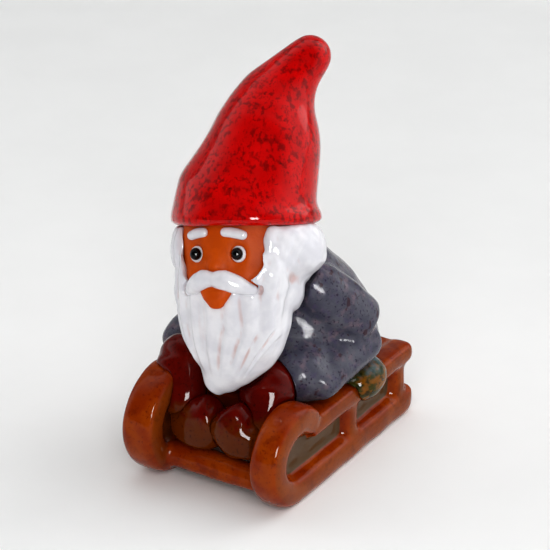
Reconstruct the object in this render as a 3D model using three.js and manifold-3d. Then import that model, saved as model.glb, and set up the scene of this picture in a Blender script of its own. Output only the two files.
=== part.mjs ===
// A glazed red-clay tomte riding a sledge, as the clay pieces that a potter lutes together before firing.
// Millimetres, +Z up. The tomte looks towards -Y and its left hand is at +X.
// The origin is on the table, under the middle of the sledge.
import * as THREE from "three";
import { mergeVertices } from "three/addons/utils/BufferGeometryUtils.js";
import Module from "manifold-3d";

const wasm = await Module();
wasm.setup();

// ---------------------------------------------------------------- driving dimensions
const JOIN_GAP = 0.3; // slip-filled seam between two luted pieces
const WALL = 4; // thickness of the slip-cast shells
const SOLE_TRIM = 0.3; // rubbed off both runners so that the sledge stands flat
const SLIVER = 0.1; // edges shorter than this are closed up after a cut

const SLEDGE = {
  halfLength: 56,
  railHeight: 12,
  deckTop: 34,
  deckThickness: 8,
  edgeRound: 3.6,
};
// The hand-built runners differ: the right one reaches further forward and curls up wider.
const RUNNER = {
  left: { inside: 24.5, outside: 38, curlY: -37.5, curlRadius: 21.5 },
  right: { inside: 19.5, outside: 35, curlY: -39, curlRadius: 23.5 },
};
const DECK_FRONT = -26;
const PANEL = { recess: 6, thickness: 4.5, frontY: -48 };
const POST = { radius: 5.5, midY: 6, rearY: 46.5 };
const CROSSBAR = { radius: 5.9, height: 10.6, frontY: -45, rearY: 44 };
const POUR_HOLE = { radius: 7, y: 20 };

// Joints of the limbs.
const ARM = {
  left: { elbow: [33, 15, 59], forearm: [31, 0, 46], wrist: [30.5, -15, 42] },
  right: { elbow: [-33, 2, 60], forearm: [-34, -9, 49], wrist: [-34, -20, 46] },
};
// The coat's front lap, spread over the left thigh.
const LAP = { centre: [21, -13, 45], size: [14, 15, 13] };
const LEG = {
  left: { hip: [12, -8, 41], knee: [15.5, -29, 42], shin: [18, -37, 28], heel: [18, -43, 25.5], toe: [5, -43.5, 34] },
  right: { hip: [-15, -6, 44], knee: [-23, -33, 46], shin: [-17, -41, 33], heel: [-17, -43, 25.5], toe: [0, -43.5, 32] },
};

const HEAD = {
  centre: [-2, -17.3, 108], // middle of the hat's rim
  yaw: 2, // degrees, looks to its left
  pitch: -20, // looks up
  roll: -12.6, // leans towards its right shoulder
  radius: 25.5,
  chin: -34,
};
const EYE = {
  centre: [9.3, -22.9, -11.3],
  white: [2.9, 2.4, 3.2],
  pupil: [2.15, 1.6, 2.4],
};

const CLAY = {
  hat: [0xb30f0a, 0.12],
  face: [0xb8501c, 0.6],
  white: [0xe9e8ea, 0.18],
  black: [0x08080a, 0.08],
  coat: [0x5b5a63, 0.22],
  seat: [0x6a6a2a, 0.18],
  trousers: [0x3c1408, 0.12],
  sledge: [0x93380c, 0.14],
};

// ---------------------------------------------------------------- solids
// A closed three.js geometry as a manifold solid, its shared vertices merged.
function solidOf(geometry) {
  const bare = (geometry.index ? geometry.toNonIndexed() : geometry).clone();
  bare.deleteAttribute("normal");
  bare.deleteAttribute("uv");
  const merged = mergeVertices(bare, 1e-4);
  return new wasm.Manifold(
    new wasm.Mesh({
      numProp: 3,
      vertProperties: merged.attributes.position.array,
      triVerts: new Uint32Array(merged.index.array),
    }),
  );
}

// A manifold solid as a three.js geometry.
function geometryOf(solid) {
  const mesh = solid.getMesh();
  const positions = new Float32Array(mesh.numVert * 3);
  for (let i = 0; i < mesh.numVert; i++) {
    const at = i * mesh.numProp;
    positions.set(mesh.vertProperties.subarray(at, at + 3), i * 3);
  }
  const geometry = new THREE.BufferGeometry();
  geometry.setAttribute("position", new THREE.BufferAttribute(positions, 3));
  geometry.setIndex(new THREE.BufferAttribute(mesh.triVerts, 1));
  return geometry;
}

// The biggest body that is left after a cut, without the slivers along the cut's edges.
function largestBody(solid) {
  const bodies = solid.simplify(SLIVER).decompose();
  return bodies.sort((a, b) => b.volume() - a.volume())[0];
}

function block(xLow, xHigh, yLow, yHigh, zLow, zHigh) {
  const geometry = new THREE.BoxGeometry(xHigh - xLow, yHigh - yLow, zHigh - zLow);
  return solidOf(geometry.translate((xLow + xHigh) / 2, (yLow + yHigh) / 2, (zLow + zHigh) / 2));
}

// A smooth loft through hand-placed stations. A station is [x, y, z, half width, half depth]; the
// rings lie square to the path. grow makes the whole shape fatter by that much, for cutting seams.
function loft(stations, options = {}) {
  const { grow = 0, segments = 28, rings = 12, roundStart = 0, roundEnd = 0, square = 2 } = options;
  const last = stations.length - 1;
  const path = new THREE.CatmullRomCurve3(stations.map(([x, y, z]) => new THREE.Vector3(x, y, z)));
  const sizes = new THREE.CatmullRomCurve3(stations.map(([, , , a, b]) => new THREE.Vector3(a, b, 0)));
  const side = new THREE.Vector3(...(options.side ?? [1, 0, 0]));
  const profile = [];
  const addRing = (t, along, shrink) => {
    const centre = path.getPoint(t);
    const forward = path.getTangent(t);
    const across = side.clone().addScaledVector(forward, -side.dot(forward)).normalize();
    const up = new THREE.Vector3().crossVectors(forward, across);
    const size = sizes.getPoint(t);
    centre.addScaledVector(forward, along);
    profile.push({ centre, across, up, a: (size.x + grow) * shrink, b: (size.y + grow) * shrink });
  };
  const domeSteps = 3;
  const dome = (t, depth, sign) => {
    for (let i = 1; i < domeSteps; i++) {
      const angle = ((i / domeSteps) * Math.PI) / 2;
      addRing(t, sign * (depth + grow) * Math.sin(angle), Math.cos(angle));
    }
  };
  if (roundStart) {
    dome(0, roundStart, -1);
    profile.reverse();
  }
  for (let i = 0; i <= rings; i++) {
    const capGrow = roundStart || roundEnd ? 0 : grow;
    const atEnd = i === 0 ? -capGrow : i === rings ? capGrow : 0;
    addRing(i / rings, atEnd, 1);
  }
  if (roundEnd) dome(1, roundEnd, 1);
  const startTip = path.getPoint(0).addScaledVector(path.getTangent(0), -(roundStart ? roundStart + grow : 0));
  const endTip = path.getPoint(1).addScaledVector(path.getTangent(1), roundEnd ? roundEnd + grow : 0);
  if (!roundStart) startTip.copy(profile[0].centre);
  if (!roundEnd) endTip.copy(profile[profile.length - 1].centre);
  const points = [];
  for (const ring of profile) {
    for (let i = 0; i < segments; i++) {
      const angle = (i / segments) * 2 * Math.PI;
      const c = Math.cos(angle);
      const s = Math.sin(angle);
      const x = Math.sign(c) * Math.abs(c) ** (2 / square) * ring.a;
      const y = Math.sign(s) * Math.abs(s) ** (2 / square) * ring.b;
      points.push(ring.centre.clone().addScaledVector(ring.across, x).addScaledVector(ring.up, y));
    }
  }
  const start = points.push(startTip) - 1;
  const end = points.push(endTip) - 1;
  const faces = [];
  const count = profile.length;
  for (let i = 0; i < segments; i++) {
    const j = (i + 1) % segments;
    faces.push(start, j, i);
    for (let k = 0; k < count - 1; k++) {
      const low = k * segments;
      const high = low + segments;
      faces.push(low + i, low + j, high + j, low + i, high + j, high + i);
    }
    faces.push(end, (count - 1) * segments + i, (count - 1) * segments + j);
  }
  const geometry = new THREE.BufferGeometry().setFromPoints(points);
  geometry.setIndex(faces);
  return solidOf(geometry);
}

// A solid seen in the side view: its outline is drawn in (y, z). It runs from inside to outside,
// measured from the middle plane towards the left (side 1) or the right (side -1).
function sidePlate(outline, inside, outside, side, round) {
  const geometry = new THREE.ExtrudeGeometry(outline, {
    depth: outside - inside - 2 * round,
    curveSegments: 16,
    bevelEnabled: true,
    bevelSize: round,
    bevelOffset: -round,
    bevelThickness: round,
    bevelSegments: 2,
  });
  const start = (side > 0 ? inside : -outside) + round;
  // The outline's own axes are (y, z, x) of the model.
  geometry.applyMatrix4(new THREE.Matrix4().set(0, 0, 1, start, 1, 0, 0, 0, 0, 1, 0, 0, 0, 0, 0, 1));
  return solidOf(geometry);
}

function ellipsoid(x, y, z, a, b, c, segments = 14) {
  const geometry = new THREE.SphereGeometry(1, segments, Math.round(segments / 2));
  geometry.scale(a, b, c);
  return solidOf(geometry.translate(x, y, z));
}

// ---------------------------------------------------------------- the sledge
// The runner's outline: a rail along the table that curls up and back over the front.
function runnerOutline({ curlY, curlRadius }, grow) {
  const { halfLength, railHeight } = SLEDGE;
  const outer = curlRadius + grow;
  const inner = curlRadius - railHeight - grow;
  const rear = halfLength + grow;
  const tipAngle = THREE.MathUtils.degToRad(50);
  const middle = (outer + inner) / 2;
  const tip = [curlY + middle * Math.cos(tipAngle), curlRadius + middle * Math.sin(tipAngle)];
  const heel = 6; // radius of the rail's rear lower corner
  const shape = new THREE.Shape();
  shape.moveTo(rear, heel - grow);
  shape.quadraticCurveTo(rear, -grow, rear - heel, -grow);
  shape.lineTo(curlY, -grow);
  shape.absarc(curlY, curlRadius, outer, -Math.PI / 2, tipAngle, true);
  shape.absarc(tip[0], tip[1], (outer - inner) / 2, tipAngle, tipAngle - Math.PI, true);
  shape.absarc(curlY, curlRadius, inner, tipAngle, -Math.PI / 2, false);
  shape.lineTo(rear, railHeight + grow);
  return shape;
}

function runner(side, grow) {
  const spec = RUNNER[side > 0 ? "left" : "right"];
  const outline = runnerOutline(spec, grow);
  const plate = sidePlate(outline, spec.inside - grow, spec.outside + grow, side, SLEDGE.edgeRound);
  return plate.subtract(block(-60, 60, -90, 90, -20, SOLE_TRIM - grow));
}

// The deck's side rail runs back from the curl at deck height.
function deckRail(side, grow) {
  const { deckTop, halfLength } = SLEDGE;
  const { inside, outside } = RUNNER[side > 0 ? "left" : "right"];
  const thickness = 9.5;
  const height = deckTop - thickness / 2;
  const x = (side * (outside + inside + 1.5)) / 2;
  const half = (outside - inside - 1.5) / 2;
  const stations = [
    [x, DECK_FRONT, height, half, thickness / 2],
    [x, halfLength - 4, height, half, thickness / 2],
  ];
  return loft(stations, { grow, segments: 20, rings: 1, roundEnd: 4, square: 3.2 });
}

function deckBoard(grow) {
  const { deckTop, deckThickness, halfLength } = SLEDGE;
  const low = -RUNNER.right.inside - 1.5 - grow;
  const high = RUNNER.left.inside + 1.5 + grow;
  const under = deckTop - deckThickness - grow;
  return block(low, high, DECK_FRONT - grow, halfLength - 2 + grow, under, deckTop - 1 + grow);
}

function pourHole() {
  const hole = new THREE.CylinderGeometry(POUR_HOLE.radius, POUR_HOLE.radius, 30, 20).rotateX(Math.PI / 2);
  return solidOf(hole.translate(0, POUR_HOLE.y, SLEDGE.deckTop));
}

// The wall that closes the side between rail, curl and deck, set back so that the frame stands proud.
function sidePanel(side, grow) {
  const { outside } = RUNNER[side > 0 ? "left" : "right"];
  const outer = outside - PANEL.recess;
  const inner = outer - PANEL.thickness;
  const wall = [PANEL.frontY - grow, SLEDGE.halfLength - 5 + grow, 4 - grow, SLEDGE.deckTop - 4 + grow];
  return side > 0
    ? block(inner - grow, outer + grow, ...wall)
    : block(-outer - grow, -inner + grow, ...wall);
}

function post(side, y, grow) {
  const { outside } = RUNNER[side > 0 ? "left" : "right"];
  const radius = POST.radius + grow;
  const column = new THREE.CylinderGeometry(radius, radius, SLEDGE.deckTop - 4, 14).rotateX(Math.PI / 2);
  return solidOf(column.translate(side * (outside - POST.radius - 0.6), y, SLEDGE.deckTop / 2 + 1));
}

function crossbar(y, grow) {
  const { height } = CROSSBAR;
  const radius = CROSSBAR.radius + grow;
  const length = RUNNER.left.inside + RUNNER.right.inside + 2;
  const bar = new THREE.CylinderGeometry(radius, radius, length, 18).rotateZ(Math.PI / 2);
  return solidOf(bar.translate((RUNNER.left.inside - RUNNER.right.inside) / 2, y, height));
}

// ---------------------------------------------------------------- the seated body
function coat(grow) {
  const stations = [
    [0, 14.5, 36, 36, 38],
    [0, 14, 46, 37, 37],
    [0, 12, 58, 34.5, 32],
    [-1, 6, 74, 26, 24],
    [-2, -3, 86, 21, 18],
    [-3, -8, 94, 16, 15],
  ];
  const body = loft(stations, { grow, segments: 24, rings: 6, roundStart: 4, roundEnd: 4, square: 2.15 });
  const [x, y, z] = LAP.centre;
  const [a, b, c] = LAP.size;
  return body.add(ellipsoid(x, y, z, a + grow, b + grow, c + grow));
}

function coatInside() {
  const stations = [
    [0, 21, 30, 24, 21],
    [0, 19, 44, 27, 23],
    [0, 14, 58, 26, 22],
    [-1, 5, 78, 19, 17],
    [-3, -6, 97, 9, 9],
    [-5, -12, 112, 9, 9],
  ];
  return loft(stations, { segments: 14, rings: 5 });
}

// The upper arm slopes back to the elbow; the forearm comes forward again to rest on the rail.
function sleeve(side, grow) {
  const { elbow, forearm, wrist } = ARM[side > 0 ? "left" : "right"];
  const upper = [
    [side * 17, -4, 84, 8, 9],
    [side * 26, 3, 75, 10, 11.5],
    [...elbow, 10, 12],
  ];
  const lower = [
    [elbow[0], elbow[1] + 3, elbow[2] - 9, 9.5, 9.5],
    [...forearm, 9, 9],
    [...wrist, 8.2, 7.5],
  ];
  const options = { grow, segments: 14, rings: 3, roundStart: 6, roundEnd: 4 };
  return loft(upper, options).add(loft(lower, options));
}

// The seat of the trousers swells out over both rails, below the hem of the coat.
function seat(grow) {
  const stations = [
    [-32, 15, 33, 13, 8.5],
    [-16, 17, 35, 16, 9],
    [16, 17, 35, 16, 9],
    [35, 17, 32, 13, 9],
  ];
  return loft(stations, { grow, segments: 18, rings: 6, roundStart: 7, roundEnd: 8, side: [0, 1, 0] });
}

// A straight thigh and a straight shin that meet in a round knee.
function leg(side, grow) {
  const { hip, knee, shin } = LEG[side > 0 ? "left" : "right"];
  const thigh = [
    [...hip, 9, 9],
    [...knee, 12, 12.5],
  ];
  const calf = [
    [...knee, 12, 11],
    [...shin, 9.5, 9],
  ];
  const options = { grow, segments: 16, rings: 2, roundStart: 6, roundEnd: 8 };
  return loft(thigh, options).add(loft(calf, options));
}

// The boots lie across the sledge, heels outwards, so that the two toes meet under the beard.
function boot(side, grow) {
  const { heel, toe } = LEG[side > 0 ? "left" : "right"];
  const stations = [
    [...heel, 7, 7],
    [(heel[0] + toe[0]) / 2, heel[1], (heel[2] + toe[2]) / 2 - 2, 9, 10.5],
    [...toe, 7.5, 10.5],
  ];
  const options = { grow, segments: 16, rings: 5, roundStart: 4, roundEnd: 3, side: [0, 1, 0] };
  return loft(stations, options);
}

// ---------------------------------------------------------------- the head, in its own tilted frame
const headTurn = new THREE.Matrix4();
{
  const toRadians = THREE.MathUtils.degToRad;
  const turn = new THREE.Euler(toRadians(HEAD.pitch), toRadians(HEAD.roll), toRadians(HEAD.yaw), "ZXY");
  headTurn.makeRotationFromEuler(turn).setPosition(...HEAD.centre);
}

function onHead(solid) {
  return solidOf(geometryOf(solid).applyMatrix4(headTurn));
}

function hat(grow) {
  const stations = [
    [0.6, 0, 1, 31, 31],
    [0.6, 0, 8, 29.4, 29.4],
    [4.6, 1.5, 20, 25.7, 25.7],
    [7.8, 2.8, 31, 22.9, 22.9],
    [10, 4.2, 41, 20.4, 20.4],
    [13.5, 6, 51, 15.6, 15.6],
    [19.5, 8.5, 60, 10.6, 10.6],
    [25.5, 11, 66.5, 8.6, 8.6],
  ];
  return onHead(loft(stations, { grow, segments: 26, rings: 11, roundStart: 3, roundEnd: 8.5 }));
}

function hatInside() {
  const stations = [
    [0, 0, -8, 22, 22],
    [0, 0, 8, 23, 23],
    [4.5, 2, 23, 21.5, 21.5],
    [9, 4, 39, 16.5, 16.5],
    [12.5, 5.5, 48, 11, 11],
  ];
  return onHead(loft(stations, { segments: 14, rings: 5, roundEnd: 5 }));
}

function face(grow) {
  const { radius, chin } = HEAD;
  const stations = [
    [0, 0, 6, radius - 1, radius - 1],
    [0, 0, -6, radius, radius],
    [0, 0, -16, radius, radius + 0.3],
    [0, 0.5, -25, radius - 2, radius - 0.5],
    [0, 1.5, chin, radius - 8, radius - 6],
  ];
  return onHead(loft(stations, { grow, segments: 24, rings: 5, roundEnd: 4 }));
}

function faceInside() {
  const { radius, chin } = HEAD;
  const inner = radius - WALL;
  const stations = [
    [0, 1, 14, inner, inner],
    [0, 1, -14, inner, inner],
    [0, 3, chin + 4, inner - 7, inner - 7],
    [0, 5, chin - 14, 9, 9],
  ];
  return onHead(loft(stations, { segments: 14, rings: 4 }));
}

function eyeWhite(side, grow) {
  const [x, y, z] = EYE.centre;
  const [a, b, c] = EYE.white;
  return onHead(ellipsoid(side * x, y, z, a + grow, b + grow, c + grow));
}

function eyePupil(side, grow) {
  const [x, y, z] = EYE.centre;
  const [a, b, c] = EYE.pupil;
  return onHead(ellipsoid(side * x + 0.3, y - 1.5, z + 0.2, a + grow, b + grow, c + grow, 14));
}

function nose(grow) {
  const stations = [
    [0, -24.8, -11, 1.8, 1.4],
    [0, -25.8, -15.8, 3.3, 2.5],
  ];
  return onHead(loft(stations, { grow, segments: 14, rings: 3, roundStart: 2, roundEnd: 2.6 }));
}

function brow(side, grow) {
  const stations = [
    [side * 4.6, -25.4, -2.6, 1.8, 1.8],
    [side * 8, -24.6, -2.9, 2, 1.9],
    [side * 11.6, -23.2, -3.9, 1.8, 1.8],
  ];
  const options = { grow, segments: 12, rings: 3, roundStart: 1.6, roundEnd: 1.6, side: [0, 0, 1] };
  return onHead(loft(stations, options));
}

function lowerLip(grow) {
  const stations = [
    [0.5, -25.4, -24, 7.6, 3.4],
    [0.5, -26.2, -27.5, 6.2, 3.5],
    [0.5, -26, -31, 3.2, 2.4],
  ];
  return onHead(loft(stations, { grow, segments: 16, rings: 3, roundStart: 1.5, roundEnd: 1.6 }));
}

function moustache(grow) {
  const lobes = [1, -1].map((side) => {
    const stations = [
      [0, -27.4, -21.2, 2.6, 2.6],
      [side * 5.5, -27.2, -21.4, 3.8, 3.4],
      [side * 11, -24.8, -23.4, 3.2, 3],
      [side * 16.3, -20.6, -25.8, 1.8, 2],
    ];
    const options = { grow, segments: 12, rings: 6, roundStart: 2, roundEnd: 1.6, side: [0, 0, 1] };
    return loft(stations, options);
  });
  return onHead(lobes[0].add(lobes[1]));
}

// The beard wraps the cheeks and the chin, then hangs between the knees. A window stays open
// around the cheeks and the mouth.
function beard(grow) {
  const cheeks = loft(
    [
      [0, -1.5, -12, 27.2, 26.4],
      [0, -2, -24, 27.8, 27],
      [0, -4, -31, 25.5, 25],
    ],
    { grow, segments: 22, rings: 3, roundEnd: 3 },
  );
  const window = loft(
    [
      [0, -40, -10, 17.8 - grow, 16 - grow],
      [0, -4, -10, 17.8 - grow, 16 - grow],
    ],
    { segments: 24, rings: 1, square: 2.6 },
  );
  const hanging = loft(
    [
      [2.5, -30, 93, 26, 21],
      [3, -31.5, 79, 27, 20],
      [1.4, -35, 64, 24, 16],
      [-0.8, -38.5, 52, 16.5, 11],
      [-3.4, -42, 45.5, 7, 6],
    ],
    { grow, segments: 22, rings: 7, roundStart: 3, roundEnd: 3 },
  );
  return onHead(cheeks).add(hanging).subtract(onHead(window));
}

// A thick lock swells out under the rim beside the cheek.
function hairLock(side, grow) {
  const stations = [
    [side * 19.5, -17, -8.5, 8.5, 3.2],
    [side * 24.5, -9, -9, 10, 4.6],
    [side * 26.5, 2, -10.5, 12, 6.8],
    [side * 24, 12, -12, 11.5, 5.6],
  ];
  const options = { grow, segments: 16, rings: 6, roundStart: 2.5, roundEnd: 4, side: [0, 0, 1] };
  return onHead(loft(stations, options));
}

function backHair(grow) {
  const stations = [
    [23, 13, -12, 12, 4.5],
    [14, 22.5, -13, 13, 5],
    [0, 26.5, -13.5, 13.5, 5],
    [-14, 22.5, -13, 13, 5],
    [-23, 13, -12, 12, 4.5],
  ];
  return onHead(loft(stations, { grow, segments: 14, rings: 7, side: [0, 0, 1] }));
}

// ---------------------------------------------------------------- assembly
const pieces = [];

function add(name, look, shape, inside) {
  pieces.push({ name, look, shape, inside });
}

const sides = [
  ["left", 1],
  ["right", -1],
];

for (const [word, side] of sides) {
  add(`${word}_runner`, CLAY.sledge, (grow) => runner(side, grow));
  add(`${word}_deck_rail`, CLAY.sledge, (grow) => deckRail(side, grow));
  add(`${word}_side_panel`, CLAY.sledge, (grow) => sidePanel(side, grow));
  add(`${word}_middle_post`, CLAY.sledge, (grow) => post(side, POST.midY, grow));
  add(`${word}_rear_post`, CLAY.sledge, (grow) => post(side, POST.rearY, grow));
}
add("deck_board", CLAY.sledge, deckBoard, pourHole);
add("front_crossbar", CLAY.sledge, (grow) => crossbar(CROSSBAR.frontY, grow));
add("rear_crossbar", CLAY.sledge, (grow) => crossbar(CROSSBAR.rearY, grow));
for (const [word, side] of sides) {
  add(`${word}_eye_pupil`, CLAY.black, (grow) => eyePupil(side, grow));
  add(`${word}_eye_white`, CLAY.white, (grow) => eyeWhite(side, grow));
}
add("face", CLAY.face, face, faceInside);
add("hat", CLAY.hat, hat, hatInside);
for (const [word, side] of sides) add(`${word}_eyebrow`, CLAY.white, (grow) => brow(side, grow));
add("nose", CLAY.face, nose);
add("moustache", CLAY.white, moustache);
add("lower_lip", CLAY.face, lowerLip);
for (const [word, side] of sides) add(`${word}_hair_lock`, CLAY.white, (grow) => hairLock(side, grow));
add("beard", CLAY.white, beard);
add("back_hair", CLAY.white, backHair);
for (const [word, side] of sides) {
  add(`${word}_boot`, CLAY.trousers, (grow) => boot(side, grow));
  add(`${word}_trouser_leg`, CLAY.trousers, (grow) => leg(side, grow));
  add(`${word}_sleeve`, CLAY.coat, (grow) => sleeve(side, grow));
}
add("trouser_seat", CLAY.seat, seat, coatInside);
add("coat", CLAY.coat, coat, coatInside);

// Each piece gives way, by the width of the seam, to every piece before it.
const solids = [];
for (const { name, look, shape, inside } of pieces) {
  let solid = shape(0);
  if (inside) solid = solid.subtract(inside());
  for (const other of solids) solid = solid.subtract(other.grown);
  solids.push({ name, look, solid: largestBody(solid), grown: shape(JOIN_GAP) });
}

// The origin goes to the table, under the middle of the whole figurine.
const bounds = new THREE.Box3();
for (const { solid } of solids) {
  const { min, max } = solid.boundingBox();
  bounds.expandByPoint(new THREE.Vector3(...min)).expandByPoint(new THREE.Vector3(...max));
}
const middle = bounds.getCenter(new THREE.Vector3());

const figurine = new THREE.Group();
for (const { name, look, solid } of solids) {
  const [colour, roughness] = look;
  const material = new THREE.MeshStandardMaterial({ color: colour, roughness, metalness: 0 });
  const geometry = geometryOf(solid).translate(-middle.x, -middle.y, -bounds.min.z);
  const mesh = new THREE.Mesh(geometry, material);
  mesh.name = name;
  figurine.add(mesh);
}

export default figurine;
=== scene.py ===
"""A glazed red-clay tomte riding a sledge, standing on a sheet of white paper."""

import math

import bmesh
import bpy
import numpy as np
from mathutils import Matrix, Vector


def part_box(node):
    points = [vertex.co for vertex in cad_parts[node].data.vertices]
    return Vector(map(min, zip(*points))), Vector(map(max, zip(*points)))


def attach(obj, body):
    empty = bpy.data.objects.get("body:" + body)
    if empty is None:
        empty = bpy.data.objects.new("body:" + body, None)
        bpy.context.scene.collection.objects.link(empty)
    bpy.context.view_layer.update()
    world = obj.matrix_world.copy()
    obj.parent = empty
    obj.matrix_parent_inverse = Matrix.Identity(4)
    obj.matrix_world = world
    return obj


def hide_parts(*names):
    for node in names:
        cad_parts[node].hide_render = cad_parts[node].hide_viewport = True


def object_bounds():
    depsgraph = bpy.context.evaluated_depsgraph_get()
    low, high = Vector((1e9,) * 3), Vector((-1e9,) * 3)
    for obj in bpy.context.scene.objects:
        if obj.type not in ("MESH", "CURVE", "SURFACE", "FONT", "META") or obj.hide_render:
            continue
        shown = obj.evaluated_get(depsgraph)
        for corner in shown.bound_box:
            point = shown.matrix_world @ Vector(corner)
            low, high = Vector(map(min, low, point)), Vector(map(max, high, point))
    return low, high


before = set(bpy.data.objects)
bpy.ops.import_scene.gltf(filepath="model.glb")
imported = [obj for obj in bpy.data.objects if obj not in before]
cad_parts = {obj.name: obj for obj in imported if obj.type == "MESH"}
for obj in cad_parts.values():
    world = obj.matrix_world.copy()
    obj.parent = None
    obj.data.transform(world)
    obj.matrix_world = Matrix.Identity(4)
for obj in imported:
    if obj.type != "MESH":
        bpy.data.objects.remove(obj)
rest_low, rest_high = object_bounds()

MM = 0.001
SIDES = ("left", "right")


def spot(node, x=0.5, y=0.5, z=0.5):
    """A place inside a clay piece's box, as a share of its width, depth and height, in metres."""
    low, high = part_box(node)
    return Vector(a + (b - a) * share for a, b, share in zip(low, high, (x, y, z)))


# ---------------------------------------------------------------- camera
CAMERA_TURN = math.radians(32)
CAMERA_RISE = math.radians(26)
CAMERA_AWAY = 1.0
LENS_MM = 157.7
SENSOR_MM = 36
# From the left runner's outer rear foot to the place the camera looks at.
FOOT_TO_AIM = Vector((-40.5, -50.0, 75.0)) * MM


def direction(turn, rise):
    """Out from the figurine: turned from its front towards its left hand, and raised."""
    flat = math.cos(rise)
    return Vector((math.sin(turn) * flat, -math.cos(turn) * flat, math.sin(rise)))


def set_camera():
    """Looks at the body from its front left, through a long lens, and gives back the place it looks at."""
    aim = spot("left_runner", 1, 1, 0) + FOOT_TO_AIM
    back = direction(CAMERA_TURN, CAMERA_RISE)
    data = bpy.data.cameras.new("camera")
    data.lens = LENS_MM
    data.sensor_width = SENSOR_MM
    camera = bpy.data.objects.new("camera", data)
    bpy.context.scene.collection.objects.link(camera)
    camera.location = aim + back * CAMERA_AWAY
    camera.rotation_mode = "QUATERNION"
    camera.rotation_quaternion = (-back).to_track_quat("-Z", "Y")
    bpy.context.scene.camera = camera
    return aim


aim_point = set_camera()

# Saturated glazes keep their colour only with the plain sRGB response.
bpy.context.scene.view_settings.view_transform = "Standard"
bpy.context.scene.view_settings.look = "Medium High Contrast"


# ---------------------------------------------------------------- skins
WELD = 0.004 * MM  # closer than this, two corners of one clay piece are the same corner
SPONGE_SHARE = 0.6  # how far one wipe of the sponge moves a point towards its neighbours' middle


def joined(nodes, swell):
    """The clay pieces' own meshes in one, each swollen along its normals."""
    shape = bmesh.new()
    for node in nodes:
        shape.from_mesh(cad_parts[node].data)
    bmesh.ops.remove_doubles(shape, verts=shape.verts, dist=WELD)
    bmesh.ops.recalc_face_normals(shape, faces=shape.faces)
    shape.normal_update()
    for vertex in shape.verts:
        vertex.co += vertex.normal * swell
    mesh = bpy.data.meshes.new("joined")
    shape.to_mesh(mesh)
    shape.free()
    return mesh


def fused(mesh, grain):
    """One even skin of small squares round the outside of everything in the mesh."""
    carrier = bpy.data.objects.new("carrier", mesh)
    bpy.context.scene.collection.objects.link(carrier)
    remesh = carrier.modifiers.new("fuse", "REMESH")
    remesh.mode = "VOXEL"
    remesh.voxel_size = grain
    ready = carrier.evaluated_get(bpy.context.evaluated_depsgraph_get())
    skin = bpy.data.meshes.new_from_object(ready)
    bpy.data.objects.remove(carrier)
    bpy.data.meshes.remove(mesh)
    return skin


class Skin:
    """A glaze skin's points and their neighbours, for shaping it."""

    def __init__(self, mesh):
        self.mesh = mesh
        count = len(mesh.vertices)
        flat = np.empty(count * 3)
        mesh.vertices.foreach_get("co", flat)
        self.points = flat.reshape(-1, 3)
        pairs = np.empty(len(mesh.edges) * 2, int)
        mesh.edges.foreach_get("vertices", pairs)
        pairs = pairs.reshape(-1, 2)
        self.ends = np.concatenate([pairs[:, 0], pairs[:, 1]])
        self.others = np.concatenate([pairs[:, 1], pairs[:, 0]])
        self.valence = np.maximum(np.bincount(self.ends, minlength=count), 1)

    def spread(self, values):
        """Each point's value as the mean of its neighbours' values."""
        if values.ndim == 1:
            return np.bincount(self.ends, values[self.others], len(values)) / self.valence
        return np.stack([self.spread(column) for column in values.T], axis=1)

    def relax(self, rounds):
        """Smooths the skin as a wet sponge does, a little in each round."""
        for _ in range(rounds):
            self.points += SPONGE_SHARE * (self.spread(self.points) - self.points)

    def normals(self):
        """Which way the surface faces at each point."""
        self.mesh.vertices.foreach_set("co", self.points.ravel())
        self.mesh.update()
        flat = np.empty(len(self.points) * 3)
        self.mesh.vertex_normals.foreach_get("vector", flat)
        return flat.reshape(-1, 3)

    def push(self, amount_mm):
        """Moves the points out along the surface's normals."""
        self.points += self.normals() * (np.ones(len(self.points)) * amount_mm * MM)[:, None]

    def bend(self, rounds):
        """How far the surface stands out (above 0) or lies in a hollow (below 0), in mm."""
        soft = self.points.copy()
        for _ in range(rounds):
            soft = self.spread(soft)
        out = ((self.points - soft) * self.normals()).sum(1) / MM
        for _ in range(2):
            out = self.spread(out)
        return out

    def store(self, name, values):
        """Keeps a number at each point, for a finish to read by its name."""
        layer = self.mesh.attributes.new(name, "FLOAT", "POINT")
        layer.data.foreach_set("value", values.astype(np.float32))

    def finished(self, name):
        """The shaped skin as an object of the scene."""
        self.mesh.vertices.foreach_set("co", self.points.ravel())
        self.mesh.name = name
        self.mesh.shade_smooth()
        self.mesh.update()
        piece = bpy.data.objects.new(name, self.mesh)
        bpy.context.scene.collection.objects.link(piece)
        return piece


def bump(points, centre, radius):
    """1 at the centre, fading smoothly to about an eighth at the radius and to nothing beyond it."""
    away = np.linalg.norm(points - np.array(centre), axis=1) / radius
    return np.exp(-(away**2) * 2)


def step(values, low, high):
    """0 below low, 1 above high, smooth between them."""
    share = np.clip((values - low) / (high - low), 0, 1)
    return share * share * (3 - 2 * share)


def along(points, bends):
    """How far each point lies from a bent line through the given places."""
    nearest = np.full(len(points), np.inf)
    for first, second in zip(bends, bends[1:]):
        start, way = np.array(first), np.array(second) - np.array(first)
        share = np.clip(((points - start) @ way) / (way @ way), 0, 1)
        nearest = np.minimum(nearest, np.linalg.norm(points - start - share[:, None] * way, axis=1))
    return nearest


def hand_wobble(points, size, seed, waves=7):
    """Slow waves of a hand-finished surface, mostly between -1 and 1."""
    draw = np.random.default_rng(seed)
    total = np.zeros(len(points))
    for _ in range(waves):
        way = draw.normal(size=3)
        way /= np.linalg.norm(way)
        pitch = 2 * math.pi / size * draw.uniform(0.6, 1.5)
        total += np.sin(points @ way * pitch + draw.uniform(0, 6.3))
    return total / 4


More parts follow.
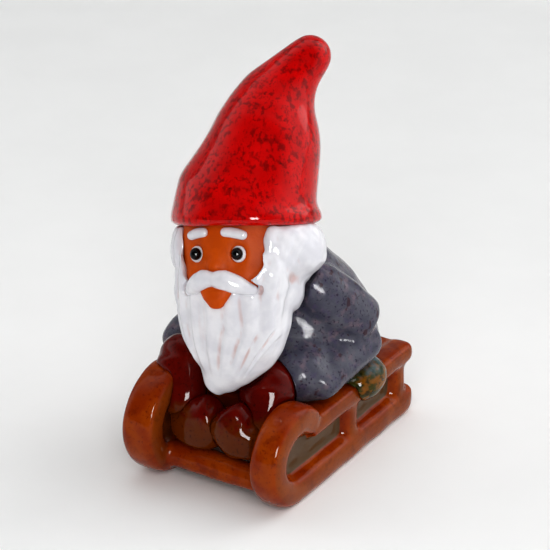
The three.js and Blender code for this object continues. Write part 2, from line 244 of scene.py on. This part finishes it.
# ---------------------------------------------------------------- the head's own directions
HEAD_TURN = Matrix.Rotation(math.radians(2), 3, "Z")
HEAD_NOD = Matrix.Rotation(math.radians(-20), 3, "X")
HEAD_LEAN = Matrix.Rotation(math.radians(-12.6), 3, "Y")
EYES_TO_RIM = Vector((0, 22.9, 11.3)) * MM  # back and up to the middle of the hat's rim
head_axes = HEAD_TURN @ HEAD_NOD @ HEAD_LEAN
eyes_middle = (spot("left_eye_white") + spot("right_eye_white")) / 2
head_middle = eyes_middle + head_axes @ EYES_TO_RIM


def on_head(points):
    """Points in millimetres from the middle of the hat's rim, along the head's own directions."""
    return (points - np.array(head_middle)) @ np.array(head_axes) / MM


def off_head(place):
    """The way back from on_head."""
    return place * MM @ np.array(head_axes).T + np.array(head_middle)


# ---------------------------------------------------------------- paint box
def colour(code):
    """An sRGB hex colour as linear light."""
    parts = [int(code[i : i + 2], 16) / 255 for i in (1, 3, 5)]
    return (*[p / 12.92 if p <= 0.04045 else ((p + 0.055) / 1.055) ** 2.4 for p in parts], 1)


def add(tree, kind, settings=None, **links):
    """Adds one node. Settings are its own values; links go to its inputs, as values or sockets."""
    node = tree.nodes.new(kind)
    for key, value in (settings or {}).items():
        setattr(node, key, value)
    for key, value in links.items():
        socket = node.inputs[int(key[1:])] if key[0] == "_" else node.inputs[key.replace("_", " ")]
        if isinstance(value, bpy.types.NodeSocket):
            tree.links.new(value, socket)
        else:
            socket.default_value = value
    return node


PATCH_BREAKUP = 0.55  # how ragged the edges of a glaze's patches are, from 0 to 1


class Finish:
    """A surface built up as it is made: a ground colour, then thinner layers over it; some layers are painted
    shade and painted reflection.
    """

    def __init__(self, name, ground, roughness, shine=0.5):
        self.material = bpy.data.materials.new(name)
        self.material.use_nodes = True
        self.tree = self.material.node_tree
        self.shader = self.tree.nodes["Principled BSDF"]
        self.shader.inputs["Roughness"].default_value = roughness
        self.shader.inputs["Specular IOR Level"].default_value = shine
        self.place = add(self.tree, "ShaderNodeTexCoord").outputs["Object"]
        self.bend = self.mark("stands_out")
        self.tone = colour(ground)

    def mark(self, name):
        """A number that the skin's shaping stored at each of its points."""
        return add(self.tree, "ShaderNodeAttribute", {"attribute_name": name}).outputs["Fac"]

    def share(self, value, low, high, most=1.0):
        """0 at low, rising smoothly to most at high."""
        smooth = {"interpolation_type": "SMOOTHSTEP", "clamp": True}
        return add(self.tree, "ShaderNodeMapRange", smooth, _0=value, _1=low, _2=high, _4=most).outputs[0]

    def patches(self, size_mm, low, high, most=1.0, detail=3.0, drawn_out=1.0):
        """Cloudy patches about size_mm wide, drawn out downwards where the glaze has run."""
        place = self.place
        if drawn_out != 1:
            times = {"operation": "MULTIPLY"}
            stretch = (1, 1, 1 / drawn_out)
            place = add(self.tree, "ShaderNodeVectorMath", times, _0=place, _1=stretch).outputs[0]
        scale = 1 / (size_mm * MM)
        texture = {"Vector": place, "Scale": scale, "Detail": detail, "Roughness": PATCH_BREAKUP}
        noise = add(self.tree, "ShaderNodeTexNoise", **texture)
        return self.share(noise.outputs[0], low, high, most)

    def where_both(self, first, second):
        """Only where two layers overlap."""
        return add(self.tree, "ShaderNodeMath", {"operation": "MULTIPLY"}, _0=first, _1=second).outputs[0]

    def thin(self, low, high, most=1.0):
        """Over edges and ridges, where the surface stands out by low to high millimetres."""
        return self.share(self.bend, low, high, most)

    def pooled_and_painted_shade(self, low, high, most=1.0):
        """In hollows, low to high millimetres deep: where glaze pools, and where shade is painted."""
        return self.share(self.bend, -low, -high, most)

    def lay(self, where, code):
        """Lays a colour over what is there already."""
        blend = {"data_type": "RGBA"}
        self.tone = add(self.tree, "ShaderNodeMix", blend, _0=where, _6=self.tone, _7=colour(code)).outputs[2]

    def relief(self, height, depth_mm):
        """Fine relief of the fired surface."""
        node = add(self.tree, "ShaderNodeBump", Strength=1.0, Distance=depth_mm * MM, Height=height)
        self.tree.links.new(node.outputs[0], self.shader.inputs["Normal"])

    def done(self):
        """The finished material."""
        self.tree.links.new(self.tone, self.shader.inputs["Base Color"])
        return self.material


def hat_glaze():
    """Selenium red glaze, poured and fired at about 1000 C: full red where thick, brown where it
    runs thin over an edge, peppered with iron specks that drift down the cone."""
    glaze = Finish("selenium_red_glaze", "#bc0000", 0.07, 0.26)
    glaze.lay(glaze.patches(10, 0.35, 0.7), "#ce0000")
    # Iron specks of 0.4 to 1.2 mm, drawn a little coarse so that they show, that gather in drifts.
    drifts = glaze.patches(7, 0.34, 0.55, drawn_out=1.6)
    specks = glaze.patches(1.9, 0.48, 0.62, 0.7, detail=2.5, drawn_out=1.4)
    glaze.lay(glaze.where_both(specks, drifts), "#640000")
    glaze.lay(glaze.patches(1.0, 0.66, 0.72, 0.6, detail=1), "#400000")
    glaze.lay(glaze.thin(0.25, 0.9, 0.85), "#6e1a0a")
    glaze.relief(glaze.patches(8, 0.2, 0.8, detail=1), 0.1)
    return glaze.done()


def bare_clay():
    """Unglazed red earthenware, wiped with a damp sponge: matt and warm, with painted shade darkening its
    hollows.
    """
    clay = Finish("sponged_red_clay", "#c04c00", 0.5, 0.1)
    clay.lay(clay.patches(6, 0.35, 0.7), "#cc5402")
    clay.lay(clay.patches(1.6, 0.56, 0.7, 0.35), "#bc4608")
    # Painted shade: darker in the eye sockets and the other hollows of the face.
    clay.lay(clay.pooled_and_painted_shade(0.1, 0.55, 0.9), "#5c1a04")
    clay.relief(clay.patches(0.9, 0.2, 0.8, detail=4), 0.05)
    return clay.done()


def white_glaze():
    """Opaque tin-white glaze over red clay: it turns milky pink where the comb has scraped it thin."""
    glaze = Finish("tin_white_glaze", "#dcdbe1", 0.12)
    glaze.lay(glaze.patches(9, 0.35, 0.65), "#eae9ed")
    # Pink clay shows through in broken lines along the comb's grooves.
    broken = glaze.patches(6, 0.4, 0.58, drawn_out=2.2)
    glaze.lay(glaze.where_both(glaze.pooled_and_painted_shade(0.03, 0.25, 0.55), broken), "#c68e80")
    # Painted shade: grey in the deeper hollows of the hair and beard.
    glaze.lay(glaze.pooled_and_painted_shade(0.3, 0.9, 0.6), "#8a848c")
    glaze.relief(glaze.patches(6, 0.2, 0.8, detail=1), 0.03)
    return glaze.done()


def black_bead():
    """A bead of black glaze, left to melt to a round drop."""
    glaze = Finish("black_bead_glaze", "#010102", 0.16, 0.22)
    glaze.lay(glaze.patches(1.5, 0.3, 0.7), "#020203")
    return glaze.done()


def coat_glaze():
    """Slate-blue glaze over red clay: mottled with lilac and pink, iron specks, greenish where thin."""
    glaze = Finish("slate_blue_glaze", "#464654", 0.2, 0.22)
    glaze.lay(glaze.patches(9, 0.38, 0.66), "#5a5a64")
    glaze.lay(glaze.patches(5, 0.5, 0.72, 0.7), "#74626c")
    glaze.lay(glaze.patches(2.6, 0.5, 0.68, 0.6), "#4d4560")
    glaze.lay(glaze.patches(1.3, 0.58, 0.66, 0.8), "#2c2434")
    glaze.lay(glaze.patches(4.2, 0.66, 0.71, 0.7, detail=1), "#3a1a22")
    glaze.lay(glaze.pooled_and_painted_shade(0.2, 1.4, 0.8), "#37373f")
    glaze.lay(glaze.thin(0.35, 1.2, 0.7), "#8b8d86")
    # Along the hem it has run together with the brown below.
    low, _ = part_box("coat")
    height = add(glaze.tree, "ShaderNodeSeparateXYZ", _0=glaze.place).outputs[2]
    glaze.lay(glaze.share(height, low.z + 9 * MM, low.z + 2 * MM, 0.6), "#4a5a58")
    glaze.relief(glaze.patches(3, 0.2, 0.8), 0.07)
    return glaze.done()


def olive_glaze():
    """Where the blue has run over the brown: teal above, amber streaks and olive below."""
    glaze = Finish("olive_run_glaze", "#3a380c", 0.1, 0.2)
    low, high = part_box("trouser_seat")
    height = add(glaze.tree, "ShaderNodeSeparateXYZ", _0=glaze.place).outputs[2]
    glaze.lay(glaze.patches(5, 0.42, 0.6, drawn_out=0.6), "#7a4a08")
    glaze.lay(glaze.patches(4, 0.52, 0.66, 0.8, detail=1, drawn_out=0.6), "#1c2206")
    wander = glaze.patches(7, 0.3, 0.7, 6 * MM)
    shifted = add(glaze.tree, "ShaderNodeMath", _0=height, _1=wander).outputs[0]
    glaze.lay(glaze.share(shifted, high.z - 4 * MM, high.z + 4 * MM), "#40606c")
    glaze.lay(glaze.thin(0.5, 1.3, 0.7), "#77704c")
    return glaze.done()


def trouser_glaze():
    """Iron-brown glaze: dark oxblood over the knees, olive-brown where it thins on the way down,
    nearly black where it fills the creases."""
    glaze = Finish("iron_brown_glaze", "#560600", 0.06, 0.16)
    glaze.lay(glaze.patches(7, 0.4, 0.65, 0.7), "#660c00")
    height = add(glaze.tree, "ShaderNodeSeparateXYZ", _0=glaze.place).outputs[2]
    wander = glaze.patches(6, 0.3, 0.7, 7 * MM)
    shifted = add(glaze.tree, "ShaderNodeMath", _0=height, _1=wander).outputs[0]
    toe = spot("left_boot", z=0.75).z
    glaze.lay(glaze.share(shifted, toe + 6 * MM, toe - 3 * MM, 0.85), "#602c02")
    glaze.lay(glaze.patches(1.3, 0.58, 0.68, 0.6), "#240400")
    glaze.lay(glaze.pooled_and_painted_shade(0.15, 0.8, 0.95), "#170401")
    glaze.lay(glaze.thin(0.5, 1.1, 0.8), "#7a3a14")
    return glaze.done()


def sledge_glaze():
    """Honey-brown lead glaze: glowing orange where thin, dark red-brown where it gathers, and pale
    along the edges where it has run off; the set-back walls are painted greyer, as a painted reflection of
    the white paper."""
    glaze = Finish("honey_brown_glaze", "#842c00", 0.07, 0.16)
    glaze.lay(glaze.patches(12, 0.38, 0.64), "#963e00")
    glaze.lay(glaze.patches(5, 0.52, 0.7, 0.6), "#6c2000")
    glaze.lay(glaze.patches(1.2, 0.58, 0.68, 0.55), "#5c1402")
    glaze.lay(glaze.pooled_and_painted_shade(0.15, 1.0, 0.9), "#4a1002")
    # It runs thin down upright sides, which come out browner than the tops of the bars.
    glaze.lay(glaze.share(glaze.mark("sideways"), 0.8, 0.97, 0.4), "#70441c")
    # Painted reflection: the set-back walls, away from their deep corners, are painted greyer, as if they
    # mirrored the white paper.
    wall = glaze.share(glaze.mark("painted_reflection_wall"), 0.3, 0.7)
    away_from_corners = glaze.share(glaze.bend, -1.2, -0.2)
    glaze.lay(glaze.where_both(wall, away_from_corners), "#584026")
    glaze.lay(glaze.thin(0.4, 1.0, 0.6), "#b8906a")
    glaze.relief(glaze.patches(7, 0.2, 0.8, detail=2), 0.08)
    return glaze.done()


# ---------------------------------------------------------------- pieces
def make(name, nodes, look, grain, rounds, shaping=None, swell=0.2, fill=0.0, reach=2.4):
    """Covers clay pieces with one skin of squares grain mm wide, sponged rounds times. The skin stands
    swell mm proud of the clay, fill closes clefts narrower than twice that many mm, and reach is how
    wide a ridge or hollow, in mm, the glaze still feels."""
    skin = Skin(fused(joined(nodes, (swell + fill) * MM), grain * MM))
    skin.relax(rounds)
    if fill:
        skin.push(-fill)
        skin.relax(2)
    if shaping:
        shaping(skin)
    skin.store("stands_out", skin.bend(max(3, round(reach / grain))))
    piece = skin.finished(name)
    piece.data.materials.append(look)
    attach(piece, "root")
    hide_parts(*nodes)


def shape_sledge(skin):
    """Marks the set-back walls for their painted reflection, gives the bars a hand-rolled wobble and wipes
    the soles flat.
    """
    skin.push(0.25 * hand_wobble(skin.points, 22 * MM, seed=11))
    skin.points[:, 2] = np.maximum(skin.points[:, 2], rest_low.z)
    painted_reflection_wall = np.zeros(len(skin.points))
    sideways = skin.normals()[:, 0]
    skin.store("sideways", np.abs(sideways))
    for side, sign in zip(SIDES, (1, -1)):
        low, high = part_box(f"{side}_side_panel")
        face = high.x if sign > 0 else low.x
        beyond = (skin.points[:, 0] - face) * sign / MM
        facing = step(sideways * sign, 0.6, 0.9)
        painted_reflection_wall = np.maximum(painted_reflection_wall, facing * (1 - step(beyond, 0.6, 2.0)) * step(beyond, -1.6, -0.6))
    skin.store("painted_reflection_wall", painted_reflection_wall)


def shape_hat(skin):
    """The slow waves of a shape pulled by hand."""
    skin.push(0.3 * hand_wobble(skin.points, 30 * MM, seed=2))


def shape_face(skin):
    """Sockets round the eyes, full cheeks and a low ridge under each brow."""
    place = on_head(skin.points)
    move = 0.25 * hand_wobble(skin.points, 14 * MM, seed=3)
    for side in (1, -1):
        move -= 0.9 * bump(place, (side * 9.3, -24, -11), 5.5)
        move += 0.8 * bump(place, (side * 12, -22, -19.5), 6)
        move += 0.4 * bump(place, (side * 9, -25, -4), 5)
    # The back of the head gives way to the hair that covers it.
    under_hair = step(place[:, 1], -14, -7)
    skin.push(move * (1 - under_hair) - 2.6 * under_hair)


def comb_beard(skin, place):
    """Combed grooves that run down from the lip and draw together at the tip."""
    low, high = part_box("beard")
    rise = (skin.points[:, 2] - low.z) / (high.z - low.z)
    half = (high.x - low.x) / 2 * np.clip(0.16 + 1.55 * rise, 0.16, 1.0)
    across = np.clip((skin.points[:, 0] - (low.x + high.x) / 2 + 1.0 * MM) / half, -1, 1)
    turn = np.arcsin(across)
    wander = 0.35 * np.sin(rise * 9 + turn * 2) + 0.25 * np.sin(rise * 17 + 1)
    comb = np.cos(turn * 19 + wander) * 0.55 + np.cos(turn * 41 + wander * 3 + 1) * 0.12
    front = step(-place[:, 1], 4, 14)
    combed = step(rise, 0.12, 0.4) * (1 - 0.6 * step(rise, 0.8, 0.95))
    return comb * front * combed


def comb_lock(skin, side):
    """Strands that drop from the temple and sweep back, and the parting between lock and beard."""
    name = f"{side}_hair_lock"
    low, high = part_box(name)
    near = step(skin.points[:, 2], low.z - 2 * MM, low.z + 6 * MM)
    out = (skin.points[:, 0] > low.x) if side == "left" else (skin.points[:, 0] < high.x)
    pivot = spot(name, y=0.85, z=1.0)
    away = np.hypot(skin.points[:, 1] - pivot.y, (skin.points[:, 2] - pivot.z) * 0.9) / MM
    wander = 0.8 * np.sin(skin.points[:, 1] / (6 * MM) + len(side))
    wander += 0.5 * np.sin(skin.points[:, 2] / (5 * MM))
    strand_width = 4.6
    strands = 0.1 * np.cos((away + wander) * (2 * math.pi / strand_width))
    edge = 0.9 if side == "left" else 0.1
    bends = [spot(name, edge, 0.22, 1), spot(name, edge, 0.26, 0.5), spot(name, edge, 0.36, 0.05)]
    parting = -1.5 * np.exp(-((along(skin.points, bends) / (2.6 * MM)) ** 2))
    return (strands + parting) * near * out


def trim_hair(place):
    """Opens the hair over the left cheek, and tucks the collar of the beard in behind both cheeks."""
    place[:, 0] += 4.0 * bump(place, (18, -17, -18), 9)
    behind = step(-place[:, 2], 15, 22) * step(place[:, 1], -15, -5)
    place[:, 0] *= 1 - 0.13 * behind
    return off_head(place)


def point_beard(points):
    """Draws the foot of the beard in to a blunt point."""
    low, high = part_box("beard")
    rise = (points[:, 2] - low.z) / (high.z - low.z)
    foot = spot("beard", 0.5).x - 4.5 * MM
    points[:, 0] = foot + (points[:, 0] - foot) * (1 - 0.3 * (1 - step(rise, 0, 0.26)))
    return points


def shape_hair(skin):
    """Trims, points and combs the hair and beard."""
    skin.points = point_beard(trim_hair(on_head(skin.points)))
    place = on_head(skin.points)
    move = comb_beard(skin, place)
    for side in SIDES:
        move += comb_lock(skin, side)
    skin.push(move + 0.15 * hand_wobble(skin.points, 18 * MM, seed=7))


def shape_coat(skin):
    """Soft folds of a thick coat, with two grooves pressed into the left sleeve."""
    move = 0.5 * hand_wobble(skin.points, 26 * MM, seed=5)
    move += 0.12 * hand_wobble(skin.points, 10 * MM, seed=8)
    elbow = spot("left_sleeve", 0.9, 0.75, 0.35)
    inner = spot("left_sleeve", 0.7, 0.35, 0.45)
    wrist = spot("left_sleeve", 0.7, 0.15, 0.15)
    for fold, width, depth in (((inner, elbow), 3.2, 1.1), ((inner, wrist), 3.0, 0.8)):
        move -= depth * np.exp(-((along(skin.points, fold) / (width * MM)) ** 2))
    skin.push(move)


def shape_moustache(skin):
    """Two lobes that end above the corners of the mouth."""
    place = on_head(skin.points)
    place[:, 0] *= 0.88
    skin.points = off_head(place)
    skin.push(0.12 * hand_wobble(skin.points, 7 * MM, seed=6))


def shape_pupil(skin):
    """A drop of glaze that stands well out of the eye."""
    place = on_head(skin.points)
    back = place[:, 1].max()
    place[:, 1] = back + (place[:, 1] - back) * 1.35
    skin.points = off_head(place)


def shape_boot(skin):
    """A sole that sags towards the crossbar."""
    height = skin.points[:, 2]
    rise = (height - height.min()) / (height.max() - height.min())
    skin.points[:, 2] -= 1.3 * MM * (1 - step(rise, 0.0, 0.6))
    skin.push(0.3 * hand_wobble(skin.points, 12 * MM, seed=9))


def shape_leg(skin):
    """The slow waves of a leg rolled by hand."""
    skin.push(0.3 * hand_wobble(skin.points, 16 * MM, seed=4))


red, clay, white, black = hat_glaze(), bare_clay(), white_glaze(), black_bead()
blue, olive, brown, honey = coat_glaze(), olive_glaze(), trouser_glaze(), sledge_glaze()

sledge_nodes = [
    f"{side}_{part}"
    for side in SIDES
    for part in ("runner", "deck_rail", "side_panel", "middle_post", "rear_post")
] + ["deck_board", "front_crossbar", "rear_crossbar"]
hair_nodes = ["beard", "back_hair", "left_hair_lock", "right_hair_lock"]
coat_nodes = ["coat", "left_sleeve", "right_sleeve"]

make("sledge", sledge_nodes, honey, grain=0.8, rounds=6, shaping=shape_sledge, fill=0.8)
make("hat", ["hat"], red, grain=0.8, rounds=34, shaping=shape_hat, swell=0.4)
make("face", ["face", "nose"], clay, grain=0.55, rounds=20, shaping=shape_face, fill=1.0)
make("lower_lip", ["lower_lip"], clay, grain=0.35, rounds=8)
make(
    "moustache", ["moustache"], white,
    grain=0.4, rounds=8, shaping=shape_moustache, swell=0.5,
)
make(
    "hair_and_beard", hair_nodes, white,
    grain=0.6, rounds=14, shaping=shape_hair, fill=0.5, reach=6,
)
make("coat", coat_nodes, blue, grain=0.8, rounds=16, shaping=shape_coat, fill=2.2)
make("trouser_seat", ["trouser_seat"], olive, grain=0.8, rounds=10)
for side in SIDES:
    brow, eye, pupil = f"{side}_eyebrow", f"{side}_eye_white", f"{side}_eye_pupil"
    leg, boot = f"{side}_trouser_leg", f"{side}_boot"
    make(brow, [brow], white, grain=0.3, rounds=6)
    make(eye, [eye], white, grain=0.2, rounds=6, swell=0.25)
    make(pupil, [pupil], black, grain=0.15, rounds=8, shaping=shape_pupil, swell=0.15)
    make(leg, [leg], brown, grain=0.7, rounds=14, shaping=shape_leg, fill=0.8)
    make(boot, [boot], brown, grain=0.7, rounds=10, shaping=shape_boot, fill=0.5)


# ---------------------------------------------------------------- table, backdrop and light
def paper_sheet():
    """A sheet of white paper that curves up behind the figurine."""
    paper = Finish("white_paper", "#f6f6f5", 0.9, 0)
    paper.lay(paper.patches(60, 0.3, 0.7), "#f8f8f7")
    shape = bmesh.new()
    half_width, front, bend_start, bend, top = 3.0, -1.6, 0.9, 0.9, 3.0
    steps = [(front, 0.0)]
    for angle in np.linspace(0, math.pi / 2, 13):
        steps.append((bend_start + bend * math.sin(angle), bend - bend * math.cos(angle)))
    steps.append((bend_start + bend, top))
    rows = [[shape.verts.new((x, y, z)) for x in (-half_width, half_width)] for y, z in steps]
    for near, far in zip(rows, rows[1:]):
        shape.faces.new((near[0], near[1], far[1], far[0]))
    mesh = bpy.data.meshes.new("paper")
    shape.to_mesh(mesh)
    shape.free()
    mesh.shade_smooth()
    sheet = bpy.data.objects.new("paper", mesh)
    sheet.rotation_euler.z = CAMERA_TURN
    bpy.context.scene.collection.objects.link(sheet)
    mesh.materials.append(paper.done())


LAMPS_AWAY = 1.8  # metres


def lamp(name, turn, rise, width, height, watts, lights=True, gleams=True):
    """A soft rectangle of light; it can be kept out of the gloss, or seen only in it."""
    data = bpy.data.lights.new(name, "AREA")
    data.shape = "RECTANGLE"
    data.size = width
    data.size_y = height
    data.energy = watts
    light = bpy.data.objects.new(name, data)
    back = direction(math.radians(turn), math.radians(rise))
    light.location = aim_point + back * LAMPS_AWAY
    light.rotation_mode = "QUATERNION"
    light.rotation_quaternion = back.to_track_quat("Z", "Y")
    light.visible_diffuse = lights
    light.visible_glossy = gleams
    bpy.context.scene.collection.objects.link(light)


DIM_END_TURN = math.radians(14)
DIM_END_RISE = math.radians(12)
BRIGHT_WALLS = 1.35
DIM_END = 0.12
# Where the walls dim, as the cosine of the angle from the middle of the dim end.
DIMMING_STARTS, DIMMING_ENDS = -0.1, 0.65


def white_room():
    """Bright walls and ceiling all round, except for the dim end of the room in front of the tomte."""
    world = bpy.data.worlds.new("white_room")
    bpy.context.scene.world = world
    world.use_nodes = True
    tree = world.node_tree
    way = add(tree, "ShaderNodeTexCoord").outputs["Generated"]
    front = tuple(direction(DIM_END_TURN, DIM_END_RISE))
    compare = {"operation": "DOT_PRODUCT"}
    facing = add(tree, "ShaderNodeVectorMath", compare, _0=way, _1=front).outputs["Value"]
    smooth = {"interpolation_type": "SMOOTHSTEP", "clamp": True}
    limits = {"_1": DIMMING_STARTS, "_2": DIMMING_ENDS, "_3": BRIGHT_WALLS, "_4": DIM_END}
    light = add(tree, "ShaderNodeMapRange", smooth, _0=facing, **limits)
    air = tree.nodes["Background"]
    air.inputs["Color"].default_value = colour("#f4f5f6")
    tree.links.new(light.outputs[0], air.inputs["Strength"])


paper_sheet()
lamp("window", turn=30, rise=34, width=1.2, height=1.2, watts=13, gleams=False)
lamp("window_panes", turn=46, rise=18, width=0.55, height=0.7, watts=40, lights=False)
lamp("soft_box_behind", turn=150, rise=32, width=1.0, height=1.4, watts=5)
white_room()
